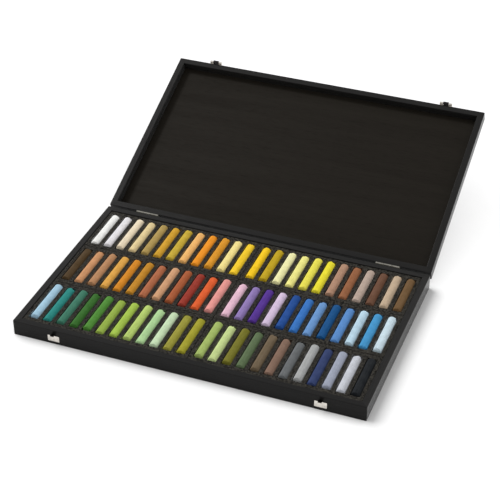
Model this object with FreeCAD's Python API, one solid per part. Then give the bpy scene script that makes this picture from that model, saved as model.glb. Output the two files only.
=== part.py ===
import FreeCAD, Part
import os

# Flat hinged case for round soft pastels, in millimetres.
# Frame: +X to the right, +Y to the hinges, +Z up. The origin is the centre of the base's underside.
# The case is built closed, and then the lid with its catches is turned open about the hinge pins.

V = FreeCAD.Vector

# sticks and the foam trays that hold them
stick_diameter = 11.0
stick_length = 65.0
stick_edge = 0.5
stick_proud = 2.5
stick_side_room = 0.3
stick_end_room = 2.5
sticks_per_tray = 12
sticks_per_group = 4
tray_columns = 2
tray_rows = 3
tray_height = 16.3
tray_rib = 5.75
tray_side_border = 5.1
tray_end_border = 6.65
tray_gap = 0.3

# wooden frames and panels
wall = 8.3
base_height = 20.3
lid_height = 13.8
seam_gap = 0.3
panel_thickness = 3.0
panel_rebate = 3.5
rim_round = 0.6
corner_round = 1.2
lid_open_angle = 158.6

# butt hinges on the back faces
hinge_side_distance = 56.0
hinge_width = 31.2
hinge_axis_distance = 1.6
hinge_knuckle_radius = 1.3
hinge_pin_radius = 0.6
leaf_thickness = 0.8
leaf_height = 9.6
leaf_screw_spacing = 18.0
leaf_screw_drop = 5.8
screw_head_radius = 1.5
screw_shank_radius = 0.8
screw_length = 5.5
screw_slot_width = 0.45
screw_slot_depth = 0.35

# catches on the front faces
catch_side_distance = 54.0
catch_width = 16.8
catch_plate_height = 9.6
catch_plate_thickness = 0.7
catch_plate_foot = 0.6
catch_axis_distance = 2.3
catch_axis_drop = 1.6
catch_arm_clearance = 0.5
catch_knuckle_radius = 1.1
catch_barrel_radius = 1.95
catch_pin_radius = 0.55
catch_open_angle = 170.0
hasp_width = 7.4
hasp_length = 10.4
hasp_thickness = 0.7
hasp_axis_offset = 0.9
hasp_window_width = 5.4
hasp_window_top = 2.6
hasp_window_bottom = 7.6
hasp_curl_radius = 0.9
keeper_width = 15.0
keeper_height = 8.1
keeper_top_drop = 7.85
keeper_thickness = 0.7
nib_width = 4.6
nib_rise = 2.4
nib_bend_radius = 1.6
nib_reach = 4.8
nib_hook = 0.5
plate_corner_radius = 0.6
brad_head_radius = 1.0
brad_head_height = 0.4
brad_shank_radius = 0.5
brad_length = 5.0
brad_side_margin = 2.3

# clearances
axial_clearance = 0.3
swing_clearance = 0.3
pin_clearance = 0.05

# sizes that follow
stick_radius = stick_diameter / 2
slot_radius = stick_radius + stick_side_room
slot_length = stick_length + 2 * stick_end_room
stick_pitch = 2 * slot_radius + tray_rib
tray_width = 2 * slot_radius + (sticks_per_tray - 1) * stick_pitch + 2 * tray_side_border
tray_depth = slot_length + 2 * tray_end_border
inner_width = tray_columns * tray_width + (tray_columns + 1) * tray_gap
inner_depth = tray_rows * tray_depth + (tray_rows + 1) * tray_gap
case_width = inner_width + 2 * wall
case_depth = inner_depth + 2 * wall
front_y = -case_depth / 2
back_y = case_depth / 2
tray_floor = panel_thickness
tray_top = tray_floor + tray_height
stick_axis = tray_top + stick_proud - stick_radius
lid_rim = base_height + seam_gap
lid_top = lid_rim + lid_height
seam = base_height + seam_gap / 2
hinge_y = back_y + hinge_axis_distance
hinge_x = case_width / 2 - hinge_side_distance
catch_x = case_width / 2 - catch_side_distance
catch_y = front_y - catch_axis_distance
catch_z = seam - catch_axis_drop
sides = {"left": -1, "right": 1}


def block(x0, x1, y0, y1, z0, z1):
    """A box between two corners, given in any order along each axis."""
    low = V(min(x0, x1), min(y0, y1), min(z0, z1))
    return Part.makeBox(abs(x1 - x0), abs(y1 - y0), abs(z1 - z0), low)


def rod(radius, start, end):
    """A round bar between two points."""
    axis = end - start
    return Part.makeCylinder(radius, axis.Length, start, axis)


def fuse(shapes):
    """One clean solid from overlapping shapes."""
    return shapes[0].multiFuse(shapes[1:]).removeSplitter()


def save(node, solids):
    """Write the solids of one sub-part to its own file."""
    shape = solids[0] if len(solids) == 1 else Part.makeCompound(solids)
    shape.exportStep(os.path.join("parts", node + ".step"))


def turned(shape, y, z, degrees):
    """A copy turned about a line along X, the front edge rising for positive angles."""
    copy = shape.copy()
    copy.rotate(V(0, y, z), V(-1, 0, 0), degrees)
    return copy


def opened(shape):
    """A piece of the closed lid, in its place on the open lid."""
    return turned(shape, hinge_y, seam, lid_open_angle)


# wooden frames

def frame_ring(rim, back):
    """A four-sided frame between its rim and its outer face, with a rebate for the panel."""
    inward = 1 if rim > back else -1
    ring = block(-case_width / 2, case_width / 2, front_y, back_y, rim, back)
    uprights = [e for e in ring.Edges if abs(e.tangentAt(e.FirstParameter).z) > 0.9]
    ring = ring.makeFillet(corner_round, uprights)
    ring = ring.cut(block(-inner_width / 2, inner_width / 2, -inner_depth / 2, inner_depth / 2, rim, back))
    reach_x = inner_width / 2 + panel_rebate
    reach_y = inner_depth / 2 + panel_rebate
    seat = back + inward * panel_thickness
    ring = ring.cut(block(-reach_x, reach_x, -reach_y, reach_y, back, seat))
    outer = case_width / 2 - corner_round
    edges = []
    for edge in ring.Edges:
        box = edge.BoundBox
        level = box.ZLength < 1e-6
        at_rim = level and abs(box.ZMin - rim) < 1e-6
        at_back = level and abs(box.ZMin - back) < 1e-6 and max(box.XMax, -box.XMin) > outer - 1e-6
        if at_rim or at_back:
            edges.append(edge)
    return ring.makeFillet(rim_round, edges)


def mitre_wedges(z0, z1):
    """The four plan regions that the corner mitres divide a frame into."""
    x = case_width / 2
    ridge = x - back_y
    plans = {
        "front": [(-x, front_y), (x, front_y), (ridge, 0), (-ridge, 0)],
        "back": [(x, back_y), (-x, back_y), (-ridge, 0), (ridge, 0)],
        "left": [(-x, back_y), (-x, front_y), (-ridge, 0)],
        "right": [(x, front_y), (x, back_y), (ridge, 0)],
    }
    wedges = {}
    for name, plan in plans.items():
        points = [V(px, py, min(z0, z1)) for px, py in plan]
        face = Part.Face(Part.makePolygon(points + points[:1]))
        wedges[name] = face.extrude(V(0, 0, abs(z1 - z0)))
    return wedges


def panel(back, inward):
    """A panel that lies in a frame's rebate, flush with its outer face."""
    x = inner_width / 2 + panel_rebate
    y = inner_depth / 2 + panel_rebate
    return block(-x, x, -y, y, back, back + inward * panel_thickness)


# hinges

def screw_places(x, side):
    """Where a hinge leaf is screwed to the back face: side is -1 on the base and 1 on the lid."""
    z = seam + side * leaf_screw_drop
    return [V(x + half * leaf_screw_spacing / 2, back_y + leaf_thickness, z) for half in (-1, 1)]


def screw_blank(place):
    """A countersunk screw without its slot, its head flush with the leaf."""
    into_wood = V(0, -1, 0)
    depth = screw_head_radius - screw_shank_radius
    head = Part.makeCone(screw_head_radius, screw_shank_radius, depth, place, into_wood)
    shank = Part.makeCylinder(screw_shank_radius, screw_length, place, into_wood)
    return fuse([head, shank])


def screw(place):
    """A slotted countersunk screw."""
    slot = block(
        place.x - screw_slot_width / 2, place.x + screw_slot_width / 2,
        place.y - screw_slot_depth, place.y + screw_slot_depth,
        place.z - screw_head_radius, place.z + screw_head_radius,
    )
    return screw_blank(place).cut(slot)


def hinge_leaf(x, side, spans):
    """One leaf with its knuckles: side is -1 for the base leaf and 1 for the lid leaf."""
    outside = back_y + leaf_thickness
    root = seam + side * (hinge_knuckle_radius + swing_clearance)
    half = hinge_width / 2
    pieces = [block(x - half, x + half, back_y, outside, root, seam + side * leaf_height)]
    for start, end in spans:
        pieces.append(block(x + start, x + end, back_y, outside, root, seam + side * swing_clearance))
        pieces.append(rod(hinge_knuckle_radius, V(x + start, hinge_y, seam), V(x + end, hinge_y, seam)))
    leaf = fuse(pieces)
    bore = hinge_pin_radius + pin_clearance
    leaf = leaf.cut(rod(bore, V(x - hinge_width, hinge_y, seam), V(x + hinge_width, hinge_y, seam)))
    for place in screw_places(x, side):
        leaf = leaf.cut(screw_blank(place))
    return leaf


def knuckle_spans():
    """Where the knuckles of the base leaf and of the lid leaf lie along the hinge."""
    half = hinge_width / 2
    third = hinge_width / 6
    base = [(-half, -third - axial_clearance / 2), (third + axial_clearance / 2, half)]
    lid = [(-third + axial_clearance / 2, third - axial_clearance / 2)]
    return base, lid


def hinge_pin(x):
    """The pin that fills a hinge's knuckles from end to end."""
    return rod(hinge_pin_radius, V(x - hinge_width / 2, hinge_y, seam), V(x + hinge_width / 2, hinge_y, seam))


# catches

def brad_places(x, half_width, z, thickness):
    """Where a plate is nailed to a front face."""
    reach = half_width - brad_side_margin
    return [V(x + half * reach, front_y - thickness, z) for half in (-1, 1)]


def brad(place):
    """A round nail with a low domed head that stands on its plate."""
    shank = Part.makeCylinder(brad_shank_radius, brad_length, place, V(0, 1, 0))
    ball = (brad_head_radius ** 2 + brad_head_height ** 2) / (2 * brad_head_height)
    dome = Part.makeSphere(ball, place + V(0, ball - brad_head_height, 0))
    rim = Part.makeCylinder(brad_head_radius, brad_head_height, place, V(0, -1, 0))
    return fuse([shank, rim.common(dome)])


def plate_with_round_corners(x, half_width, z0, z1, thickness):
    """A flat plate on a front face, with its four corners rounded."""
    plate = block(x - half_width, x + half_width, front_y - thickness, front_y, z0, z1)
    corners = [e for e in plate.Edges if abs(e.tangentAt(e.FirstParameter).y) > 0.9]
    return plate.makeFillet(plate_corner_radius, corners)


def lid_brads(x):
    """Places of the brads in the catch plate at x."""
    middle = seam + catch_plate_foot + catch_plate_height / 2
    return brad_places(x, catch_width / 2, middle, catch_plate_thickness)


def keeper_brads(x):
    """Places of the brads in the keeper at x."""
    middle = seam - keeper_top_drop - keeper_height / 2
    return brad_places(x, keeper_width / 2, middle, keeper_thickness)


def catch_plate(x):
    """The plate on the lid, with two arms that carry the hasp's pin across the seam."""
    half = catch_width / 2
    gap = hasp_width / 2 + axial_clearance
    foot = seam + catch_plate_foot
    plate = plate_with_round_corners(x, half, foot, foot + catch_plate_height, catch_plate_thickness)
    pieces = [plate]
    arm_top = foot + catch_plate_height / 3
    arm_face = catch_y + catch_knuckle_radius - catch_plate_thickness
    for side in (-1, 1):
        inner, outer = x + side * gap, x + side * half
        pieces.append(block(inner, outer, arm_face, front_y - catch_arm_clearance, catch_z, arm_top))
        pieces.append(rod(catch_knuckle_radius, V(inner, catch_y, catch_z), V(outer, catch_y, catch_z)))
    made = fuse(pieces)
    bore = catch_pin_radius + pin_clearance
    made = made.cut(rod(bore, V(x - catch_width, catch_y, catch_z), V(x + catch_width, catch_y, catch_z)))
    for place in lid_brads(x):
        made = made.cut(Part.makeCylinder(brad_shank_radius, brad_length, place, V(0, 1, 0)))
    return made


def catch_pin(x):
    """The pin of a hasp."""
    half = catch_width / 2
    return rod(catch_pin_radius, V(x - half, catch_y, catch_z), V(x + half, catch_y, catch_z))


def catch_hasp(x):
    """The swinging hasp in its latched place: a barrel, a tongue with a window, and a curled finger edge."""
    half = hasp_width / 2
    face = catch_y - hasp_axis_offset - hasp_thickness
    tip = catch_z - hasp_length
    curl_y = face + hasp_thickness - hasp_curl_radius
    pieces = [
        rod(catch_barrel_radius, V(x - half, catch_y, catch_z), V(x + half, catch_y, catch_z)),
        block(x - half, x + half, face, face + hasp_thickness, tip, catch_z),
        rod(hasp_curl_radius, V(x - half, curl_y, tip), V(x + half, curl_y, tip)),
    ]
    made = fuse(pieces)
    bore = catch_pin_radius + pin_clearance
    made = made.cut(rod(bore, V(x - catch_width, catch_y, catch_z), V(x + catch_width, catch_y, catch_z)))
    window = block(
        x - hasp_window_width / 2, x + hasp_window_width / 2, catch_y, face - hasp_curl_radius,
        catch_z - hasp_window_top, catch_z - hasp_window_bottom,
    )
    return made.cut(window)


def keeper(x):
    """The plate on the base, with a lip at its top edge that bends outwards through the hasp's window."""
    top = seam - keeper_top_drop
    plate = plate_with_round_corners(x, keeper_width / 2, top - keeper_height, top, keeper_thickness)
    left, right = x - nib_width / 2, x + nib_width / 2
    shelf_top = top + nib_rise
    shelf_foot = shelf_top - keeper_thickness
    bend_y, bend_z = front_y - nib_bend_radius, shelf_top - nib_bend_radius
    ends = V(left, bend_y, bend_z), V(right, bend_y, bend_z)
    bend = rod(nib_bend_radius, *ends).cut(rod(nib_bend_radius - keeper_thickness, *ends))
    reach = front_y - nib_reach
    made = fuse([
        plate,
        block(left, right, front_y - keeper_thickness, front_y, top - keeper_thickness, bend_z),
        bend.common(block(left, right, bend_y, front_y, bend_z, shelf_top)),
        block(left, right, reach, bend_y, shelf_foot, shelf_top),
        block(left, right, reach, reach + keeper_thickness, shelf_foot, shelf_top + nib_hook),
    ])
    for place in keeper_brads(x):
        made = made.cut(Part.makeCylinder(brad_shank_radius, brad_length, place, V(0, 1, 0)))
    return made


# foam trays and sticks

def tray_centre(column, row):
    """Plan centre of a tray, counted from the left and from the front."""
    x = (column - (tray_columns - 1) / 2) * (tray_width + tray_gap)
    y = (row - (tray_rows - 1) / 2) * (tray_depth + tray_gap)
    return x, y


def stick_place(column, row, index):
    """Plan centre of one stick, counted from the left in its tray."""
    x, y = tray_centre(column, row)
    return x + (index - (sticks_per_tray - 1) / 2) * stick_pitch, y


def foam_tray(column, row):
    """A foam block with one round-bottomed slot for each stick."""
    x, y = tray_centre(column, row)
    tray = block(
        x - tray_width / 2, x + tray_width / 2, y - tray_depth / 2, y + tray_depth / 2, tray_floor, tray_top
    )
    for index in range(sticks_per_tray):
        sx, sy = stick_place(column, row, index)
        start, end = sy - slot_length / 2, sy + slot_length / 2
        trough = rod(slot_radius, V(sx, start, stick_axis), V(sx, end, stick_axis))
        mouth = block(sx - slot_radius, sx + slot_radius, start, end, stick_axis, tray_top + stick_proud)
        tray = tray.cut(fuse([trough, mouth]))
    return tray


def stick(column, row, index):
    """One round stick with broken edges."""
    x, y = stick_place(column, row, index)
    start, end = y - stick_length / 2, y + stick_length / 2
    body = rod(stick_radius, V(x, start, stick_axis), V(x, end, stick_axis))
    ends = [e for e in body.Edges if e.BoundBox.YLength < 1e-6]
    return body.makeChamfer(stick_edge, ends)


# the groups of neighbouring sticks, front row first, from the left
stick_groups = {
    (0, 0): ["sticks_teal", "sticks_green", "sticks_mint"],
    (1, 0): ["sticks_olive", "sticks_grey", "sticks_slate"],
    (0, 1): ["sticks_umber", "sticks_terracotta", "sticks_red"],
    (1, 1): ["sticks_violet", "sticks_blue", "sticks_sky"],
    (0, 2): ["sticks_white", "sticks_ochre", "sticks_orange"],
    (1, 2): ["sticks_gold", "sticks_lemon", "sticks_brown"],
}
column_names = ["left", "right"]
row_names = ["front", "middle", "back"]


def make_base():
    """Walls, bottom panel, keepers and the fixed half of the hinges."""
    ring = frame_ring(base_height, 0)
    base_leaf_spans, _ = knuckle_spans()
    for side in sides.values():
        for place in screw_places(side * hinge_x, -1):
            ring = ring.cut(screw_blank(place))
        for place in keeper_brads(side * catch_x):
            ring = ring.cut(Part.makeCylinder(brad_shank_radius, brad_length, place, V(0, 1, 0)))
    for name, wedge in mitre_wedges(0, base_height).items():
        save("base_" + name + "_wall", [ring.common(wedge)])
    save("base_bottom_panel", [panel(0, 1)])
    screws, brads = [], []
    for name, side in sides.items():
        save("hinge_base_leaf_" + name, [hinge_leaf(side * hinge_x, -1, base_leaf_spans)])
        save("hinge_pin_" + name, [hinge_pin(side * hinge_x)])
        save("keeper_" + name, [keeper(side * catch_x)])
        screws += [screw(place) for place in screw_places(side * hinge_x, -1)]
        brads += [brad(place) for place in keeper_brads(side * catch_x)]
    save("hinge_screws_base", screws)
    save("keeper_brads", brads)


def make_lid():
    """Rails, panel, catches and the moving half of the hinges, on the open lid."""
    ring = frame_ring(lid_rim, lid_top)
    _, lid_leaf_spans = knuckle_spans()
    for side in sides.values():
        for place in screw_places(side * hinge_x, 1):
            ring = ring.cut(screw_blank(place))
        for place in lid_brads(side * catch_x):
            ring = ring.cut(Part.makeCylinder(brad_shank_radius, brad_length, place, V(0, 1, 0)))
    for name, wedge in mitre_wedges(lid_rim, lid_top).items():
        save("lid_" + name + "_rail", [opened(ring.common(wedge))])
    save("lid_panel", [opened(panel(lid_top, -1))])
    screws, brads = [], []
    for name, side in sides.items():
        save("hinge_lid_leaf_" + name, [opened(hinge_leaf(side * hinge_x, 1, lid_leaf_spans))])
        save("catch_plate_" + name, [opened(catch_plate(side * catch_x))])
        save("catch_pin_" + name, [opened(catch_pin(side * catch_x))])
        swung = turned(catch_hasp(side * catch_x), catch_y, catch_z, catch_open_angle)
        save("catch_hasp_" + name, [opened(swung)])
        screws += [opened(screw(place)) for place in screw_places(side * hinge_x, 1)]
        brads += [opened(brad(place)) for place in lid_brads(side * catch_x)]
    save("hinge_screws_lid", screws)
    save("catch_brads", brads)


def make_contents():
    """The foam trays and the sticks in them, four neighbours to a node."""
    for (column, row), names in stick_groups.items():
        save("foam_tray_" + row_names[row] + "_" + column_names[column], [foam_tray(column, row)])
        for group, name in enumerate(names):
            first = group * sticks_per_group
            indexes = range(first, first + sticks_per_group)
            save(name, [stick(column, row, index) for index in indexes])


os.makedirs("parts", exist_ok=True)
make_base()
make_lid()
make_contents()
print("case", case_width, case_depth, lid_top)
print("hinge axis y z", hinge_y, seam)
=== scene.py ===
"""Looks of a flat black wooden case of soft pastels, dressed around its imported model.

Everything is in metres, in the model's own frame: +X to the right, +Y to the hinges, +Z up, with the
origin at the centre of the base's underside.
"""

import math
import random

import bmesh
import bpy
from mathutils import Euler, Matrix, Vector, noise


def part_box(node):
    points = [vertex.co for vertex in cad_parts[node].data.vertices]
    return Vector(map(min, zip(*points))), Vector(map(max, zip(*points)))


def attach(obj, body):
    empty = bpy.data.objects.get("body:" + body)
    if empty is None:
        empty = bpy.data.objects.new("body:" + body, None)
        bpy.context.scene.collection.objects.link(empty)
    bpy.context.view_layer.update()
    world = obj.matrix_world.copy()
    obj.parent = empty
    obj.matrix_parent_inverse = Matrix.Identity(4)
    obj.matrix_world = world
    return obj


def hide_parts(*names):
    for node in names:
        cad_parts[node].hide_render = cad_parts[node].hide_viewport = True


MM = 0.001

# ---------------------------------------------------------------- sizes and the order of the sticks

STICKS_PER_GROUP = 4
STICKS_PER_TRAY = 12
STICK_RADIUS = 5.5 * MM
STICK_LENGTH = 65.0 * MM
STICK_PITCH = 17.35 * MM
STICK_EDGE = 0.7 * MM
STICK_PROUD = 2.5 * MM
SLOT_RADIUS = 5.8 * MM
SLOT_LENGTH = 70.0 * MM
SLOT_RIM = 0.5 * MM
SLOT_END_STEEPNESS = 60
TRAY_EDGE = 0.6 * MM
# the height where a keeper's lip begins; above it the lip is painted dark as shade
KEEPER_LIP_FOOT = 12.7 * MM

# how far the open lid's board rises from the level, in degrees
LID_LEAN = 21.4

# how uneven the hand-made pieces are: a stick's place along its slot, its swells, its ripples and the
# most that it stands out, the depth and reach of the chips at its ends, and the foam's sag and dents
STICK_DRIFT = 1.3 * MM
STICK_SWELL = 0.10 * MM
STICK_RIPPLE = 0.05 * MM
STICK_SPARE = 0.05 * MM
CHIP_DEPTH = 1.8 * MM
CHIP_REACH = 2.2 * MM
FOAM_SAG = 0.10 * MM
FOAM_DENT = 0.05 * MM

# the trays, each with its three groups of sticks from the left
TRAYS = {
    "foam_tray_back_left": ["sticks_white", "sticks_ochre", "sticks_orange"],
    "foam_tray_back_right": ["sticks_gold", "sticks_lemon", "sticks_brown"],
    "foam_tray_middle_left": ["sticks_umber", "sticks_terracotta", "sticks_red"],
    "foam_tray_middle_right": ["sticks_violet", "sticks_blue", "sticks_sky"],
    "foam_tray_front_left": ["sticks_teal", "sticks_green", "sticks_mint"],
    "foam_tray_front_right": ["sticks_olive", "sticks_grey", "sticks_slate"],
}

# ---------------------------------------------------------------- studio

# metres, degrees and scene colours; the camera's lens and sensor are in millimetres
FLOOR_REACH = 4.0
FLOOR_GREYS = (0.71, 0.73)
SURROUND_GREY = 0.84
KEY_PLACE = Vector((-2.56, 1.04, 2.89))
KEY_SIZE = 0.71
KEY_WATTS = 80
WASH_DIRECTION = Vector((-2.45, 0.5, 3.1))
WASH_SPREAD = 46
WASH_STRENGTH = 3.0
CAMERA_PLACE = Vector((0.5387, -1.3318, 1.0947))
CAMERA_AZIMUTH = 20.85
CAMERA_ELEVATION = 34.95
CAMERA_LENS = 105.66
CAMERA_SENSOR = 36.0

# ---------------------------------------------------------------- colours, in display percent

# the two tones of each finish, blended by its grain, cells or smudges
BLACK_STAIN = ((9.8, 9.6, 9.4), (12.8, 12.5, 12.2))
# the front wall's darker stain is painted shade: the front faces away from the key light
FRONT_PAINTED_SHADE_STAIN = ((7.6, 7.4, 7.2), (9.8, 9.6, 9.4))
BROWN_BLACK_STAIN = ((9.9, 8.6, 6.8), (11.1, 9.8, 7.8))
BLACK_FOAM = ((2, 2, 2), (25, 24, 22))
BRIGHT_NICKEL = ((88, 86, 83), (80, 78, 75))
# a darker nickel for the hinges
DARKER_HINGE_NICKEL = ((60, 59, 56), (50, 49, 46))
# near-black nickel for the hasps: painted shade on them
HASP_PAINTED_SHADE_NICKEL = ((20, 19, 19), (15, 14, 14))

# the grain's open pores, and the painted shade on the lip of a keeper
WOOD_PORE = (4, 4, 4)
LIP_PAINTED_SHADE = (16, 15, 15)

# pure pigments: red, green and blue
PIGMENTS = {
    "white_chalk": (96, 96, 95),
    "lemon_yellow": (93, 89, 20),
    "cadmium_yellow": (97, 82, 8),
    "orange_yellow": (95, 62, 12),
    "vermilion": (90, 40, 18),
    "rose_red": (90, 42, 38),
    "yellow_ochre": (85, 66, 18),
    "green_gold": (80, 68, 15),
    "golden_ochre": (88, 62, 15),
    "flesh_ochre": (80, 53, 30),
    "light_red": (70, 38, 22),
    "english_red": (63, 22, 16),
    "burnt_sienna": (62, 40, 26),
    "raw_sienna": (62, 45, 25),
    "burnt_umber": (44, 30, 22),
    "raw_umber": (33, 25, 14),
    "rose_violet": (85, 35, 60),
    "cobalt_violet": (65, 40, 75),
    "violet": (35, 20, 60),
    "cobalt_blue": (12, 32, 62),
    "azure_blue": (22, 48, 78),
    "prussian_blue": (3, 33, 56),
    "cerulean": (28, 62, 82),
    "indigo": (20, 26, 44),
    "turquoise": (16, 57, 54),
    "viridian": (26, 51, 42),
    "chrome_green": (22, 45, 16),
    "grass_green": (33, 58, 22),
    "permanent_green": (48, 76, 32),
    "spring_green": (65, 78, 25),
    "olive_green": (60, 58, 15),
    "green_earth": (38, 46, 32),
    "ivory_black": (8, 10, 12),
}

# sticks of each group from the left: a pigment, how far chalk pales it and how far black then deepens it
STICKS = {
    "sticks_white": {
        "titanium_white": ("white_chalk", 0, 0),
        "zinc_white": ("violet", 0.95, 0),
        "ivory_cream": ("golden_ochre", 0.8, 0),
        "naples_cream": ("yellow_ochre", 0.6, 0),
    },
    "sticks_ochre": {
        "olive_ochre": ("yellow_ochre", 0.3, 0.2),
        "yellow_ochre": ("yellow_ochre", 0, 0),
        "green_gold": ("green_gold", 0.1, 0),
        "apricot": ("orange_yellow", 0.4, 0),
    },
    "sticks_orange": {
        "orange_yellow": ("orange_yellow", 0, 0),
        "golden_ochre": ("golden_ochre", 0, 0),
        "pale_straw": ("cadmium_yellow", 0.6, 0),
        "cadmium_yellow": ("cadmium_yellow", 0.1, 0),
    },
    "sticks_gold": {
        "deep_yellow": ("cadmium_yellow", 0, 0),
        "mustard": ("cadmium_yellow", 0, 0.2),
        "pale_ivory": ("lemon_yellow", 0.7, 0),
        "primrose": ("lemon_yellow", 0.5, 0),
    },
    "sticks_lemon": {
        "lemon": ("lemon_yellow", 0.2, 0),
        "bright_lemon": ("lemon_yellow", 0, 0),
        "rose_clay": ("burnt_sienna", 0.3, 0),
        "raw_sienna": ("burnt_sienna", 0, 0),
    },
    "sticks_brown": {
        "shell_pink": ("burnt_sienna", 0.6, 0.1),
        "van_dyke_brown": ("burnt_umber", 0, 0),
        "light_sand": ("raw_sienna", 0.5, 0),
        "golden_umber": ("raw_sienna", 0, 0.3),
    },
    "sticks_umber": {
        "raw_umber": ("raw_umber", 0, 0),
        "peach": ("flesh_ochre", 0.2, 0),
        "camel": ("flesh_ochre", 0.2, 0.1),
        "light_gold_ochre": ("golden_ochre", 0.2, 0),
    },
    "sticks_terracotta": {
        "indian_yellow": ("orange_yellow", 0, 0.1),
        "deep_gold_ochre": ("golden_ochre", 0, 0.1),
        "burnt_sienna": ("light_red", 0.1, 0),
        "flesh_ochre": ("flesh_ochre", 0.3, 0),
    },
    "sticks_red": {
        "red_ochre": ("light_red", 0, 0),
        "brick_red": ("english_red", 0, 0),
        "vermilion": ("vermilion", 0, 0),
        "salmon": ("rose_red", 0.4, 0),
    },
    "sticks_violet": {
        "blush_pink": ("rose_violet", 0.7, 0),
        "ultramarine_violet": ("violet", 0.4, 0),
        "dioxazine_violet": ("violet", 0, 0),
        "pale_lilac": ("cobalt_violet", 0.7, 0),
    },
    "sticks_blue": {
        "cobalt_blue": ("cobalt_blue", 0, 0),
        "azure_blue": ("azure_blue", 0, 0),
        "pale_cobalt": ("azure_blue", 0.3, 0),
        "prussian_cyan": ("prussian_blue", 0, 0),
    },
    "sticks_sky": {
        "sky_blue": ("azure_blue", 0.2, 0),
        "ice_blue": ("cerulean", 0.7, 0),
        "cerulean": ("cerulean", 0, 0),
        "frost": ("cerulean", 0.8, 0),
    },
    "sticks_teal": {
        "light_sky": ("cerulean", 0.6, 0),
        "turquoise_green": ("turquoise", 0, 0),
        "viridian_grey": ("viridian", 0, 0),
        "chrome_green": ("chrome_green", 0, 0),
    },
    "sticks_green": {
        "grass_green": ("grass_green", 0, 0),
        "moss_yellow": ("spring_green", 0.1, 0.1),
        "spring_green": ("spring_green", 0.1, 0),
        "lime": ("spring_green", 0.3, 0),
    },
    "sticks_mint": {
        "pistachio": ("permanent_green", 0.5, 0),
        "pale_mint": ("permanent_green", 0.7, 0),
        "olive_gold": ("olive_green", 0.1, 0),
        "citron": ("lemon_yellow", 0, 0.3),
    },
    "sticks_olive": {
        "reseda": ("spring_green", 0.3, 0.1),
        "pale_reseda": ("spring_green", 0.5, 0),
        "dark_olive": ("olive_green", 0, 0.2),
        "grey_green": ("green_earth", 0, 0),
    },
    "sticks_grey": {
        "olive_grey": ("raw_umber", 0.2, 0),
        "taupe": ("burnt_umber", 0.2, 0),
        "mid_grey": ("ivory_black", 0.4, 0),
        "light_grey": ("ivory_black", 0.7, 0),
    },
    "sticks_slate": {
        "indigo": ("indigo", 0, 0),
        "blue_grey": ("indigo", 0.6, 0),
        "lavender_grey": ("indigo", 0.8, 0),
        "charcoal_black": ("ivory_black", 0, 0),
    },
}


def mixed(pigment, chalk, black):
    """A pigment let down with chalk and then deepened with black, as a display colour in percent."""
    colour = PIGMENTS[pigment]
    for share, addition in ((chalk, PIGMENTS["white_chalk"]), (black, PIGMENTS["ivory_black"])):
        colour = [own + (added - own) * share for own, added in zip(colour, addition)]
    return colour


def linear(percent):
    """Scene colour of a display colour given in percent."""
    channels = []
    for value in percent:
        share = value / 100
        channels.append(share / 12.92 if share <= 0.04045 else ((share + 0.055) / 1.055) ** 2.4)
    return (*channels, 1.0)


def grey(level):
    """A grey scene colour."""
    return (level, level, level, 1.0)


def shaded(percent, share, lift=0.0):
    """Scene colour of a display colour, its light scaled to a share and lifted."""
    return (*(min(1.0, channel * share + lift) for channel in linear(percent)[:3]), 1.0)


# ---------------------------------------------------------------- shader building blocks

# the colour sockets of a Mix node, which share their names with its other sockets
MIX_FIRST_COLOUR = 6
MIX_SECOND_COLOUR = 7
MIX_COLOUR_RESULT = 2


def place(tree, kind, **settings):
    """A new node with its plain settings."""
    node = tree.nodes.new(kind)
    for name, value in settings.items():
        setattr(node, name, value)
    return node


def wire(tree, source, target):
    """Join two sockets, or set the target where the source is a plain value."""
    if isinstance(source, bpy.types.NodeSocket):
        tree.links.new(source, target)
    else:
        target.default_value = source


def maths(tree, operation, first, second):
    """A maths node's result."""
    node = place(tree, "ShaderNodeMath", operation=operation)
    wire(tree, first, node.inputs[0])
    wire(tree, second, node.inputs[1])
    return node.outputs[0]


def noise_of(tree, vector, scale, detail, roughness=0.5, distortion=0.0):
    """A noise texture's value."""
    node = place(tree, "ShaderNodeTexNoise")
    wire(tree, vector, node.inputs["Vector"])
    node.inputs["Scale"].default_value = scale
    node.inputs["Detail"].default_value = detail
    node.inputs["Roughness"].default_value = roughness
    node.inputs["Distortion"].default_value = distortion
    return node.outputs["Fac"]


def streaks_of(tree, vector, scales, detail, roughness=0.5, distortion=0.0):
    """A noise texture's value, with a scale of its own along each axis."""
    return noise_of(tree, stretched(tree, vector, scales), 1.0, detail, roughness, distortion)


def spread(tree, value, low, high, out_low=0.0, out_high=1.0):
    """A value stretched from one range to another, and held inside it."""
    node = place(tree, "ShaderNodeMapRange", clamp=True)
    wire(tree, value, node.inputs["Value"])
    limits = {"From Min": low, "From Max": high, "To Min": out_low, "To Max": out_high}
    for name, limit in limits.items():
        node.inputs[name].default_value = limit
    return node.outputs["Result"]


def stretched(tree, vector, scale, turn=(0.0, 0.0, 0.0)):
    """A vector turned, in degrees, and then scaled axis by axis."""
    turned = place(tree, "ShaderNodeMapping", vector_type="POINT")
    wire(tree, vector, turned.inputs["Vector"])
    turned.inputs["Rotation"].default_value = [math.radians(angle) for angle in turn]
    scaled = place(tree, "ShaderNodeVectorMath", operation="MULTIPLY")
    wire(tree, turned.outputs["Vector"], scaled.inputs[0])
    scaled.inputs[1].default_value = scale
    return scaled.outputs["Vector"]


def blend_colours(tree, amount, first, second):
    """A mix of two colours."""
    node = place(tree, "ShaderNodeMix", data_type="RGBA")
    wire(tree, amount, node.inputs["Factor"])
    wire(tree, first, node.inputs[MIX_FIRST_COLOUR])
    wire(tree, second, node.inputs[MIX_SECOND_COLOUR])
    return node.outputs[MIX_COLOUR_RESULT]


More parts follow.
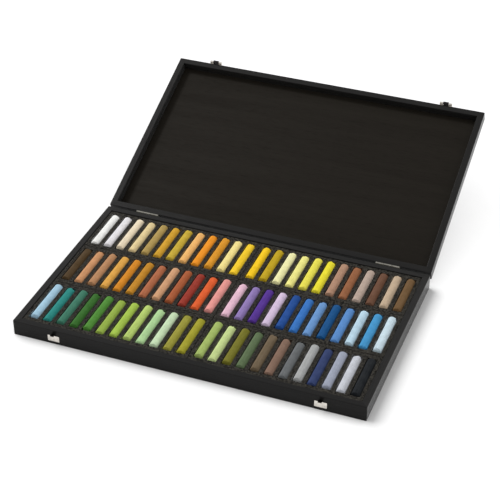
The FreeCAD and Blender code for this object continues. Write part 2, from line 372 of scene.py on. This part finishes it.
def shader_group(outputs, build):
    """A node group from a vector to some values, filled in by build(tree, vector, outputs)."""
    tree = bpy.data.node_groups.new(build.__name__, "ShaderNodeTree")
    tree.interface.new_socket("Vector", in_out="INPUT", socket_type="NodeSocketVector")
    for label in outputs:
        tree.interface.new_socket(label, in_out="OUTPUT", socket_type="NodeSocketFloat")
    entry = tree.nodes.new("NodeGroupInput")
    leave = tree.nodes.new("NodeGroupOutput")
    build(tree, entry.outputs["Vector"], leave.inputs)
    return tree


def use_group(tree, group, vector):
    """A group placed in a material, over the given vector."""
    node = place(tree, "ShaderNodeGroup", node_tree=group)
    wire(tree, vector, node.inputs["Vector"])
    return node.outputs


def wood_grain(tree, vector, out):
    """Grain along X: soft figure, long pores, and the height of both."""
    figure = streaks_of(tree, vector, (3, 60, 60), detail=4.0, roughness=0.55, distortion=0.6)
    fibres = streaks_of(tree, vector, (30, 1500, 1500), detail=3.0, roughness=0.6)
    pores = streaks_of(tree, vector, (70, 2300, 2300), detail=1.0, roughness=0.4)
    pits = spread(tree, pores, 0.30, 0.42, 1.0, 0.0)
    wire(tree, spread(tree, figure, 0.3, 0.7), out["Figure"])
    wire(tree, pits, out["Pores"])
    wire(tree, maths(tree, "SUBTRACT", fibres, pits), out["Height"])


def foam_cells(tree, vector, out):
    """Skin of fine closed cells with soft dents."""
    cells = place(tree, "ShaderNodeTexVoronoi", feature="SMOOTH_F1")
    wire(tree, vector, cells.inputs["Vector"])
    cells.inputs["Scale"].default_value = 1100
    cells.inputs["Smoothness"].default_value = 0.4
    dents = noise_of(tree, vector, scale=480, detail=3.0, roughness=0.6)
    wire(tree, cells.outputs["Distance"], out["Cells"])
    wire(tree, spread(tree, dents, 0.37, 0.63), out["Dents"])
    wire(tree, maths(tree, "ADD", cells.outputs["Distance"], dents), out["Height"])


def chalk_body(tree, vector, out):
    """Pressed pigment: cloudy tone, dark pinholes and a sandy surface."""
    cloud = noise_of(tree, vector, scale=140, detail=4.0, roughness=0.6)
    sand = noise_of(tree, vector, scale=2600, detail=2.0, roughness=0.7)
    streak = streaks_of(tree, vector, (900, 50, 900), detail=2.0)
    holes = noise_of(tree, vector, scale=900, detail=1.0, roughness=0.4)
    pinholes = spread(tree, holes, 0.22, 0.32, 1.0, 0.0)
    tone = maths(tree, "ADD", maths(tree, "MULTIPLY", cloud, 0.6), maths(tree, "MULTIPLY", streak, 0.4))
    wire(tree, spread(tree, tone, 0.35, 0.65), out["Tone"])
    wire(tree, pinholes, out["Pinholes"])
    rough = maths(tree, "ADD", sand, maths(tree, "MULTIPLY", streak, 0.8))
    wire(tree, maths(tree, "SUBTRACT", rough, pinholes), out["Height"])


def rolled_metal(tree, vector, out):
    """Plated sheet: fine rolling lines and faint smudges."""
    lines = streaks_of(tree, vector, (60, 6000, 6000), detail=2.0)
    smudge = noise_of(tree, vector, scale=300, detail=3.0)
    wire(tree, lines, out["Lines"])
    wire(tree, spread(tree, smudge, 0.35, 0.7), out["Smudges"])


def make_groups():
    """The shared effects, each built once."""
    return {
        "grain": shader_group(("Figure", "Pores", "Height"), wood_grain),
        "foam": shader_group(("Cells", "Dents", "Height"), foam_cells),
        "chalk": shader_group(("Tone", "Pinholes", "Height"), chalk_body),
        "metal": shader_group(("Lines", "Smudges"), rolled_metal),
    }


def new_material(name):
    """An empty node material with its shader and object coordinates."""
    material = bpy.data.materials.new(name)
    material.use_nodes = True
    tree = material.node_tree
    tree.nodes.clear()
    shader = place(tree, "ShaderNodeBsdfPrincipled")
    output = place(tree, "ShaderNodeOutputMaterial")
    tree.links.new(shader.outputs["BSDF"], output.inputs["Surface"])
    coordinates = place(tree, "ShaderNodeTexCoord")
    return material, tree, shader, coordinates.outputs["Object"]


def bump(tree, shader, height, distance, strength):
    """Relief on the shader's normal, its depth in metres."""
    node = place(tree, "ShaderNodeBump")
    wire(tree, height, node.inputs["Height"])
    node.inputs["Distance"].default_value = distance
    node.inputs["Strength"].default_value = strength
    tree.links.new(node.outputs["Normal"], shader.inputs["Normal"])


# ---------------------------------------------------------------- materials


def stained_wood(name, groups, tones, turn=(0, 0, 0), roughness=0.26, index=1.2, pores=0.7, nap=0.0):
    """Black-stained wood whose grain runs along X after the turn, in degrees.

    The pores are how strongly its open pores show, and the nap how much pale fuzz catches the light.
    """
    material, tree, shader, coordinates = new_material(name)
    along = stretched(tree, coordinates, (1, 1, 1), turn)
    grain = use_group(tree, groups["grain"], along)
    stain = blend_colours(tree, grain["Figure"], *map(linear, tones))
    pore_share = maths(tree, "MULTIPLY", grain["Pores"], pores)
    wire(tree, blend_colours(tree, pore_share, stain, linear(WOOD_PORE)), shader.inputs["Base Color"])
    rubbed = spread(tree, grain["Figure"], 0.0, 1.0, roughness + 0.05, roughness - 0.05)
    in_pores = maths(tree, "MULTIPLY", grain["Pores"], 0.2)
    wire(tree, maths(tree, "ADD", rubbed, in_pores), shader.inputs["Roughness"])
    shader.inputs["IOR"].default_value = index
    shader.inputs["Sheen Weight"].default_value = nap
    shader.inputs["Sheen Roughness"].default_value = 0.3
    bump(tree, shader, grain["Height"], 0.03 * MM, 0.6)
    return material


def black_foam(groups):
    """Black foam, dusted where its mesh says that pigment has rubbed off on it."""
    material, tree, shader, coordinates = new_material("black_foam")
    foam = use_group(tree, groups["foam"], coordinates)
    body = blend_colours(tree, foam["Dents"], *map(linear, BLACK_FOAM))
    dust = place(tree, "ShaderNodeAttribute", attribute_name="pigment_dust")
    specks = noise_of(tree, coordinates, scale=1500, detail=2.0, roughness=0.6)
    amount = maths(tree, "MULTIPLY", dust.outputs["Alpha"], spread(tree, specks, 0.45, 0.6))
    wire(tree, blend_colours(tree, amount, body, dust.outputs["Color"]), shader.inputs["Base Color"])
    wire(tree, spread(tree, foam["Cells"], 0.0, 0.8, 0.6, 0.9), shader.inputs["Roughness"])
    shader.inputs["Specular IOR Level"].default_value = 0.06
    bump(tree, shader, foam["Height"], 0.25 * MM, 0.8)
    return material


def pressed_pastel(name, groups, colour):
    """A pigment stick's matte body."""
    material, tree, shader, coordinates = new_material(name)
    chalk = use_group(tree, groups["chalk"], coordinates)
    # the pinholes take a darker copy of the colour: painted shade in the pits
    deep, pale, pinhole_shade = shaded(colour, 0.86), shaded(colour, 1.04, 0.01), shaded(colour, 0.6)
    body = blend_colours(tree, chalk["Tone"], deep, pale)
    wire(tree, blend_colours(tree, chalk["Pinholes"], body, pinhole_shade), shader.inputs["Base Color"])
    wire(tree, spread(tree, chalk["Tone"], 0.0, 1.0, 0.95, 0.85), shader.inputs["Roughness"])
    shader.inputs["Specular IOR Level"].default_value = 0.2
    shader.inputs["Diffuse Roughness"].default_value = 1.0
    bump(tree, shader, chalk["Height"], 0.06 * MM, 0.7)
    return material


def nickel_plate(name, groups, tones, painted_shade_above=None):
    """Nickel plate on the hinges and catches, painted dark above a height where one is given, as shade
    on a keeper's lip.
    """
    material, tree, shader, coordinates = new_material(name)
    metal = use_group(tree, groups["metal"], coordinates)
    plate = blend_colours(tree, metal["Smudges"], *map(linear, tones))
    if painted_shade_above:
        split = place(tree, "ShaderNodeSeparateXYZ")
        wire(tree, coordinates, split.inputs["Vector"])
        # above this height the keeper's lip is painted dark: painted shade
        lip = spread(tree, split.outputs["Z"], painted_shade_above, painted_shade_above + 0.1 * MM)
        plate = blend_colours(tree, lip, plate, linear(LIP_PAINTED_SHADE))
    wire(tree, plate, shader.inputs["Base Color"])
    shader.inputs["Metallic"].default_value = 1.0
    wire(tree, spread(tree, metal["Smudges"], 0.0, 1.0, 0.12, 0.22), shader.inputs["Roughness"])
    bump(tree, shader, metal["Lines"], 0.008 * MM, 0.5)
    return material


def white_sweep():
    """The pale floor."""
    material, tree, shader, coordinates = new_material("white_sweep")
    cloud = noise_of(tree, coordinates, scale=40, detail=3.0)
    dark, pale = map(grey, FLOOR_GREYS)
    wire(tree, blend_colours(tree, cloud, dark, pale), shader.inputs["Base Color"])
    shader.inputs["Roughness"].default_value = 0.9
    shader.inputs["Specular IOR Level"].default_value = 0.1
    return material


def dress(node, material):
    """Give a carried-over piece its finish."""
    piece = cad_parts[node]
    piece.data.materials.clear()
    piece.data.materials.append(material)


# ---------------------------------------------------------------- pieces


def finish_mesh(name, mesh_data, material):
    """An object for a finished bmesh, smooth shaded."""
    mesh = bpy.data.meshes.new(name)
    mesh_data.normal_update()
    mesh_data.to_mesh(mesh)
    mesh_data.free()
    mesh.materials.append(material)
    mesh.shade_smooth()
    piece = bpy.data.objects.new(name, mesh)
    bpy.context.scene.collection.objects.link(piece)
    return piece


def stick_profile():
    """Half outline of a stick: distance from its near end, and radius, with softly broken edges."""
    edge_steps, body_steps = 4, 22
    near_end = [(0.0, 0.0), (0.0, STICK_RADIUS * 0.5), (0.0, STICK_RADIUS - STICK_EDGE * 1.3)]
    for step in range(edge_steps + 1):
        angle = math.radians(90 * step / edge_steps)
        along = STICK_EDGE - STICK_EDGE * math.cos(angle)
        near_end.append((along, STICK_RADIUS - STICK_EDGE + STICK_EDGE * math.sin(angle)))
    straight = STICK_LENGTH - 2 * STICK_EDGE
    body = [(STICK_EDGE + straight * step / body_steps, STICK_RADIUS) for step in range(1, body_steps)]
    far_end = [(STICK_LENGTH - along, radius) for along, radius in reversed(near_end)]
    return near_end + body + far_end


def ripple(spot, scale, drift):
    """Soft noise at a spot, from about -1 to 1, the same in every run."""
    return noise.noise(spot * scale + drift)


def stick_skin(spot, radius, drift):
    """How far a stick's skin stands out at a spot, and how much is chipped off there by an end."""
    swell = ripple(spot, 90, drift) * STICK_SWELL + ripple(spot, 420, drift) * STICK_RIPPLE
    from_end = min(spot.y, STICK_LENGTH - spot.y)
    chip = max(0.0, ripple(spot, 330, drift * 2) - 0.12) * CHIP_DEPTH
    chip *= max(0.0, 1 - from_end / CHIP_REACH) * (radius / STICK_RADIUS)
    return swell, chip


def stick_mesh(name, centre, seed, shift, material):
    """A hand-pressed stick along Y, a little uneven, with chipped ends."""
    around = 40
    data = bmesh.new()
    rings = []
    drift = Vector((seed * 3.1, seed * 1.7, seed * 2.3))
    start = centre.y - STICK_LENGTH / 2 + shift
    for along, radius in stick_profile():
        if radius == 0.0:
            rings.append([data.verts.new((centre.x, start + along, centre.z))])
            continue
        ring = []
        for step in range(around):
            angle = 2 * math.pi * step / around
            out = Vector((math.cos(angle), 0.0, math.sin(angle)))
            swell, chip = stick_skin(Vector((out.x * radius, along, out.z * radius)), radius, drift)
            worn = min(radius + swell - chip, STICK_RADIUS + STICK_SPARE)
            inward = chip * 0.6 * (1 if along < STICK_LENGTH / 2 else -1)
            ring.append(data.verts.new((
                centre.x + out.x * worn, start + along + inward, centre.z + out.z * worn
            )))
        rings.append(ring)
    for near, far in zip(rings, rings[1:]):
        for step in range(around):
            after = (step + 1) % around
            if len(near) == 1:
                data.faces.new((near[0], far[after], far[step]))
            elif len(far) == 1:
                data.faces.new((near[step], near[after], far[0]))
            else:
                data.faces.new((near[step], near[after], far[after], far[step]))
    bmesh.ops.recalc_face_normals(data, faces=data.faces[:])
    return finish_mesh(name, data, material)


def quarter_round(share, radius):
    """Depth of a rounded edge, from none at share 0 to its radius at share 1."""
    return radius * (1 - math.sqrt(max(0.0, 1 - share * share)))


def slot_section(distance):
    """Depth of a slot's section below the tray's top at a distance from its middle line."""
    axis_depth = SLOT_RADIUS - STICK_PROUD
    if distance >= SLOT_RADIUS + SLOT_RIM:
        return 0.0
    if distance > SLOT_RADIUS:
        return quarter_round((SLOT_RADIUS + SLOT_RIM - distance) / SLOT_RIM, SLOT_RIM)
    share = min(1.0, distance / SLOT_RADIUS)
    return max(axis_depth + SLOT_RADIUS * math.sqrt(1 - share * share), SLOT_RIM)


def slot_end(distance):
    """Depth of a slot's end wall at a distance inside its line, or outside where it is negative."""
    if distance <= -SLOT_RIM:
        return 0.0
    if distance < 0:
        return quarter_round((SLOT_RIM + distance) / SLOT_RIM, SLOT_RIM)
    return SLOT_RIM + distance * SLOT_END_STEEPNESS


def tray_edge(distance):
    """How far a tray's top falls away at a distance from its outside."""
    if distance >= TRAY_EDGE:
        return 0.0
    return quarter_round(1 - distance / TRAY_EDGE, TRAY_EDGE)


def grid_lines(low, high, middles, reach, shares):
    """Coordinates across a tray: its own edges, and shares of the reach to both sides of each middle."""
    lines = {low, high}
    for step in range(1, 5):
        lines.add(low + step * 0.2 * MM)
        lines.add(high - step * 0.2 * MM)
    for middle in middles:
        for share in shares:
            lines.add(middle + share * reach)
            lines.add(middle - share * reach)
    return [line for line in sorted(lines) if low <= line <= high]


def lines_across_slots(low, high, slots):
    """Where a tray's mesh is cut across its slots: finest at their rims."""
    within = [0, 0.25, 0.5, 0.7, 0.85, 0.95, 0.995]
    at_rim = [1.0 + SLOT_RIM * step / 3 / SLOT_RADIUS for step in range(4)]
    half_bridge = (STICK_PITCH / 2 - SLOT_RADIUS) / SLOT_RADIUS
    between = [1.0 + half_bridge * share for share in (0.4, 0.7, 0.98)]
    return grid_lines(low, high, slots, SLOT_RADIUS, within + at_rim + between)


def lines_along_slots(low, high, middle, half):
    """Where a tray's mesh is cut along its slots: finest at their ends."""
    within = [0, 0.12, 0.25, 0.37, 0.5, 0.62, 0.75, 0.87, 0.96]
    at_end = [1.0 + offset * MM / half for offset in (-0.02, -0.001, 0.17, 0.33, 0.5, 1.5, 3.0, 4.5)]
    return grid_lines(low, high, [middle], half, within + at_end)


def foam_sag(spot, drift):
    """How far the foam's skin lies below its true level."""
    return (ripple(spot, 60, drift) + 1) * FOAM_SAG + (ripple(spot, 260, drift) + 1) * FOAM_DENT


def dust_share(spot, drift, side, section, inside):
    """How much pigment lies on a spot of foam: most under the stick, and some on the slot's rims."""
    if section > (2 * SLOT_RADIUS - STICK_PROUD) * 0.6 and inside:
        return 0.35
    if abs(abs(side) - SLOT_RADIUS) < SLOT_RIM * 1.2 and inside:
        patch = max(0.0, ripple(spot, 130, drift * 3) + 0.25)
        return patch * (0.55 if side < 0 else 0.25)
    return 0.0


def close_block(data, grid, foot_height, dust_layer):
    """Give a grid of top points its side walls and its underside."""
    rim_loop = [column[0] for column in grid] + grid[-1][1:]
    rim_loop += [column[-1] for column in reversed(grid[:-1])] + list(reversed(grid[0][1:-1]))
    foot = []
    for vert in rim_loop:
        below = data.verts.new((vert.co.x, vert.co.y, foot_height))
        below[dust_layer] = (0, 0, 0, 0)
        foot.append(below)
    for step in range(len(rim_loop)):
        after = (step + 1) % len(rim_loop)
        data.faces.new((rim_loop[after], rim_loop[step], foot[step], foot[after]))
    data.faces.new(foot)


def foam_tray(name, seed, colours, material):
    """A foam block with softened slot rims, a slightly uneven top, and pigment dust by each slot."""
    low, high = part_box(name)
    middle_x, middle_y = (low.x + high.x) / 2, (low.y + high.y) / 2
    half = SLOT_LENGTH / 2
    slots = [middle_x + (i - (STICKS_PER_TRAY - 1) / 2) * STICK_PITCH for i in range(STICKS_PER_TRAY)]
    ys = lines_along_slots(low.y, high.y, middle_y, half)
    floor_depth = SLOT_RADIUS - STICK_PROUD + SLOT_RADIUS
    drift = Vector((seed * 0.9, seed * 0.4, 0.0))
    data = bmesh.new()
    dust_layer = data.verts.layers.float_color.new("pigment_dust")
    grid = []
    for x in lines_across_slots(low.x, high.x, slots):
        nearest = min(range(STICKS_PER_TRAY), key=lambda i: abs(slots[i] - x))
        side = x - slots[nearest]
        section = slot_section(abs(side))
        column = []
        for y in ys:
            from_middle = abs(y - middle_y)
            border = min(x - low.x, high.x - x, y - low.y, high.y - y)
            depth = max(min(section, slot_end(half - from_middle), floor_depth), tray_edge(border))
            spot = Vector((x, y, 0))
            vert = data.verts.new((x, y, high.z - depth - foam_sag(spot, drift)))
            dust = dust_share(spot, drift, side, section, from_middle < half)
            vert[dust_layer] = (*colours[nearest][:3], dust)
            column.append(vert)
        grid.append(column)
    for left, right in zip(grid, grid[1:]):
        for step in range(len(ys) - 1):
            data.faces.new((left[step], right[step], right[step + 1], left[step + 1]))
    close_block(data, grid, low.z, dust_layer)
    bmesh.ops.recalc_face_normals(data, faces=data.faces[:])
    return finish_mesh(name + "_foam", data, material)


def make_trays(groups):
    """All foam trays with their sticks."""
    foam = black_foam(groups)
    chance = random.Random(72)
    for tray_index, (tray, stick_groups) in enumerate(TRAYS.items()):
        sticks = []
        for group in stick_groups:
            sticks += [(group, name, mixed(*recipe)) for name, recipe in STICKS[group].items()]
        colours = [linear(colour) for _, _, colour in sticks]
        block = foam_tray(tray, tray_index + 1, colours, foam)
        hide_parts(tray)
        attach(block, tray)
        for index, (group, name, colour) in enumerate(sticks):
            low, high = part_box(group)
            in_group = index % STICKS_PER_GROUP
            x = low.x + STICK_RADIUS + in_group * STICK_PITCH
            centre = Vector((x, (low.y + high.y) / 2, (low.z + high.z) / 2))
            shift = chance.uniform(-STICK_DRIFT, STICK_DRIFT)
            seed = tray_index * STICKS_PER_TRAY + index + 1
            paint = pressed_pastel("pastel_" + name, groups, colour)
            piece = stick_mesh("pastel_" + name, centre, seed, shift, paint)
            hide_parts(group)
            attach(piece, group)


def dress_case(groups):
    """Finishes of the wooden parts and the fittings."""
    rail = stained_wood("stained_rail", groups, BLACK_STAIN)
    # a darker copy of the stain for the front wall, as painted shade
    base_front = stained_wood("stained_base_front_painted_shade", groups, FRONT_PAINTED_SHADE_STAIN)
    base_side = stained_wood("stained_base_side", groups, BLACK_STAIN, (0, 0, -90), nap=0.25)
    lid_side = stained_wood("stained_lid_side", groups, BLACK_STAIN, (-LID_LEAN, 0, -90), nap=0.25)
    board = stained_wood(
        "stained_board", groups, BROWN_BLACK_STAIN, roughness=0.6, index=1.15, pores=0.3, nap=0.03
    )
    dress("base_front_wall", base_front)
    for node in ("base_back_wall", "lid_front_rail", "lid_back_rail"):
        dress(node, rail)
    for side in ("left", "right"):
        dress("base_" + side + "_wall", base_side)
        dress("lid_" + side + "_rail", lid_side)
    dress("base_bottom_panel", board)
    dress("lid_panel", board)
    nickel = nickel_plate("nickel_plate", groups, BRIGHT_NICKEL)
    dulled = nickel_plate("dulled_nickel", groups, DARKER_HINGE_NICKEL)
    hasp_shade = nickel_plate("hasp_painted_shade_nickel", groups, HASP_PAINTED_SHADE_NICKEL)
    # the keepers' nickel carries painted shade on their lips
    keeper = nickel_plate("keeper_nickel", groups, BRIGHT_NICKEL, KEEPER_LIP_FOOT)
    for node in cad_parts:
        # the hasps take the near-black nickel, as painted shade
        if node.startswith("catch_hasp"):
            dress(node, hasp_shade)
        elif node in ("keeper_left", "keeper_right"):
            dress(node, keeper)
        elif node.startswith("hinge_"):
            dress(node, dulled)
        elif node.startswith(("catch_", "keeper_")):
            dress(node, nickel)


# ---------------------------------------------------------------- light, floor and camera


def make_floor():
    """A plain pale floor."""
    data = bmesh.new()
    bmesh.ops.create_grid(data, x_segments=1, y_segments=1, size=FLOOR_REACH)
    floor = finish_mesh("studio_floor", data, white_sweep())
    return floor


def hang_light(name, kind, direction, strength):
    """A light that shines from a direction towards the case."""
    lamp = bpy.data.lights.new(name, kind)
    lamp.energy = strength
    holder = bpy.data.objects.new(name, lamp)
    holder.rotation_euler = direction.to_track_quat("Z", "Y").to_euler()
    bpy.context.scene.collection.objects.link(holder)
    return holder, lamp


def set_of(name, pieces):
    """A collection of pieces that a light treats alike."""
    chosen = bpy.data.collections.new(name)
    for piece in pieces:
        chosen.objects.link(piece)
    return chosen


def make_light(floor):
    """A weak key from the left and behind for the case, and a broad, even light for the floor alone."""
    key, lamp = hang_light("key_softbox", "AREA", KEY_PLACE, KEY_WATTS)
    key.location = KEY_PLACE
    lamp.size = KEY_SIZE
    not_by_key = set_of("not_lit_by_key", [floor])
    not_by_key.collection_objects[0].light_linking.link_state = "EXCLUDE"
    key.light_linking.receiver_collection = not_by_key
    wash, lamp = hang_light("floor_wash", "SUN", WASH_DIRECTION, WASH_STRENGTH)
    lamp.angle = math.radians(WASH_SPREAD)
    wash.light_linking.receiver_collection = set_of("lit_by_wash", [floor])
    shades = [piece for node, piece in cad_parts.items() if node.startswith(("base_", "keeper_"))]
    wash.light_linking.blocker_collection = set_of("shades_the_wash", shades)


def make_surround():
    """A bright even surround that the camera sees as white."""
    scene = bpy.context.scene
    world = bpy.data.worlds.new("studio")
    scene.world = world
    world.use_nodes = True
    tree = world.node_tree
    background = tree.nodes["Background"]
    ray = place(tree, "ShaderNodeLightPath")
    seen = blend_colours(tree, ray.outputs["Is Camera Ray"], grey(SURROUND_GREY), grey(1.0))
    wire(tree, seen, background.inputs["Color"])
    background.inputs["Strength"].default_value = 1.0
    scene.view_settings.view_transform = "Standard"
    scene.view_settings.look = "None"


def make_camera():
    """The studio camera: a long lens, looking down on the case from its right front."""
    camera = bpy.data.cameras.new("studio_camera")
    camera.lens = CAMERA_LENS
    camera.sensor_width = CAMERA_SENSOR
    holder = bpy.data.objects.new("studio_camera", camera)
    holder.location = CAMERA_PLACE
    tilt, swing = math.radians(90 - CAMERA_ELEVATION), math.radians(CAMERA_AZIMUTH)
    holder.rotation_euler = Euler((tilt, 0.0, swing), "XYZ")
    bpy.context.scene.collection.objects.link(holder)
    bpy.context.scene.camera = holder


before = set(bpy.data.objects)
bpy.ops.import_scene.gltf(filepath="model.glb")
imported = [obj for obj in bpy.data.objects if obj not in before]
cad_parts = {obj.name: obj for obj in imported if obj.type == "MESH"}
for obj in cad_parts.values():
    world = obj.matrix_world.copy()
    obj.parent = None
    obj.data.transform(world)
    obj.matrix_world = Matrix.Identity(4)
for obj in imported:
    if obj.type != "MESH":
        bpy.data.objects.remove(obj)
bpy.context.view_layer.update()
shared = make_groups()
dress_case(shared)
make_trays(shared)
make_light(make_floor())
make_surround()
make_camera()
